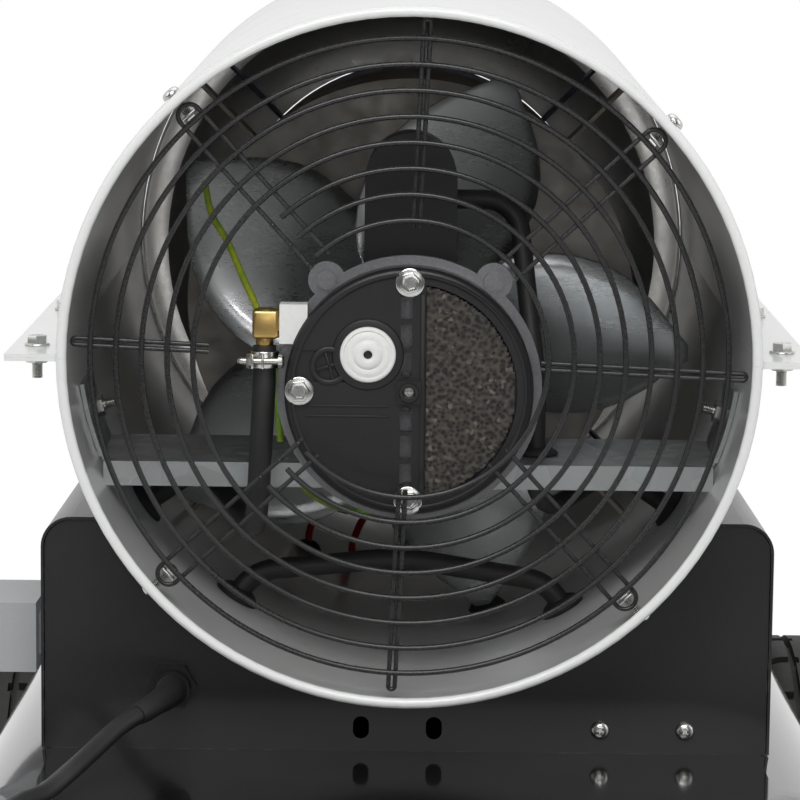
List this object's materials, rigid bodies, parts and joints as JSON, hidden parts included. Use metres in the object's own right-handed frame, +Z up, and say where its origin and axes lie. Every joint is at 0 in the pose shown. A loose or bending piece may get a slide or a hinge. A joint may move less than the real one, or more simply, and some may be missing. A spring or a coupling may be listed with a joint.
{
  "type": "diesel space heater",
  "caption": "Wheeled forced-air diesel heater: white barrel shell, wire-guarded fan and motor, black cabinet and fuel tank, handle, rear foot, power cord with plug.",
  "frame": {"origin": "on the floor, under the middle of the bounding box of the heater without its cord", "axes": "+Z up, +Y from the fan end to the outlet, +X to the right seen from the fan end"},
  "size_m": [0.538, 1.0258, 0.6585],
  "materials": {
    "shell_white": "gloss",
    "zinc": "satin",
    "nose_steel": "satin",
    "wire_black": "satin",
    "fan_aluminium": "satin",
    "motor_black": "satin",
    "moulded_black": "satin",
    "galvanised": "satin",
    "foam": "matte",
    "white_plastic": "satin",
    "brass": "satin",
    "cast_aluminium": "matte",
    "dark_steel": "matte",
    "rubber_black": "matte",
    "ceramic": "gloss",
    "cabinet_black": "satin",
    "board_green": "gloss",
    "grey_plastic": "satin",
    "rocker_red": "gloss",
    "cord_black": "satin",
    "plug_black": "satin",
    "tank_black": "gloss",
    "rim_grey": "gloss",
    "tyre": "matte"
  },
  "bodies": {
    "heater": {"upper_shell": "shell_white", "lower_shell": "shell_white", "flange_screws": "zinc", "outlet_nose": "nose_steel", "fan_guard": "wire_black", "guard_screws": "zinc", "motor_housing": "motor_black", "capacitor": "moulded_black", "motor_bracket": "galvanised", "bracket_bolts": "zinc", "filter_cover": "moulded_black", "foam_filter": "foam", "gauge_plug": "white_plastic", "pressure_adjuster": "brass", "cover_screws": "zinc", "pump_plate": "cast_aluminium", "pump_body": "cast_aluminium", "air_block": "white_plastic", "air_elbow": "brass", "hose_clip": "zinc", "air_hose": "rubber_black", "motor_lead": "rubber_black", "cable_loop": "rubber_black", "grommets": "rubber_black", "burner_head": "dark_steel", "nozzle": "brass", "electrodes": "ceramic", "combustion_chamber": "dark_steel", "flame_disc": "dark_steel", "fuel_hose": "rubber_black", "rear_panel": "cabinet_black", "front_panel": "cabinet_black", "side_covers": "cabinet_black", "cabinet_screws": "zinc", "control_board": "board_green", "ignition_transformer": "moulded_black", "control_fascia": "grey_plastic", "socket_box": "grey_plastic", "cord_gland": "moulded_black", "power_cord": "cord_black", "cord_coil": "cord_black", "plug": "plug_black", "tank_top": "tank_black", "tank_bottom": "tank_black", "fuel_gauge": "white_plastic", "chassis": "tank_black", "handle_grip": "rubber_black", "feet": "rubber_black", "axle": "zinc"},
    "fan_rotor": {"fan": "fan_aluminium", "motor_shaft": "zinc", "pump_rotor": "dark_steel"},
    "wheel_left": {"rim_left": "rim_grey", "tyre_left": "tyre"},
    "wheel_right": {"rim_right": "rim_grey", "tyre_right": "tyre"},
    "thermostat": {"thermostat_knob": "moulded_black"},
    "rocker": {"rocker_switch": "rocker_red"},
    "lid": {"socket_lid": "grey_plastic"},
    "cap": {"fuel_cap": "moulded_black"}
  },
  "joints": [
    {"name": "fan_spin", "type": "hinge", "parent": "heater", "child": "fan_rotor", "pos_m": [0, -0.08358, 0.473], "axis": [0, 1, 0], "continuous": true},
    {"name": "wheel_left_spin", "type": "hinge", "parent": "heater", "child": "wheel_left", "pos_m": [-0.241, 0.30642, 0.125], "axis": [1, 0, 0], "continuous": true},
    {"name": "wheel_right_spin", "type": "hinge", "parent": "heater", "child": "wheel_right", "pos_m": [0.241, 0.30642, 0.125], "axis": [1, 0, 0], "continuous": true},
    {"name": "thermostat_turn", "type": "hinge", "parent": "heater", "child": "thermostat", "pos_m": [0.163, 0.15642, 0.35925], "axis": [1, 0, 0], "range_deg": [0, 270]},
    {"name": "rocker_tilt", "type": "hinge", "parent": "heater", "child": "rocker", "pos_m": [0.1615, 0.09642, 0.35925], "axis": [0, 1, 0], "range_deg": [-8, 8]},
    {"name": "socket_lid_hinge", "type": "hinge", "parent": "heater", "child": "lid", "pos_m": [-0.2078, -0.14258, 0.3648], "axis": [0, 1, 0], "range_deg": [0, 110]},
    {"name": "fuel_cap_turn", "type": "hinge", "parent": "heater", "child": "cap", "pos_m": [0.11, 0.36242, 0.3088], "axis": [0, 0, 1], "range_deg": [0, 90]}
  ]
}
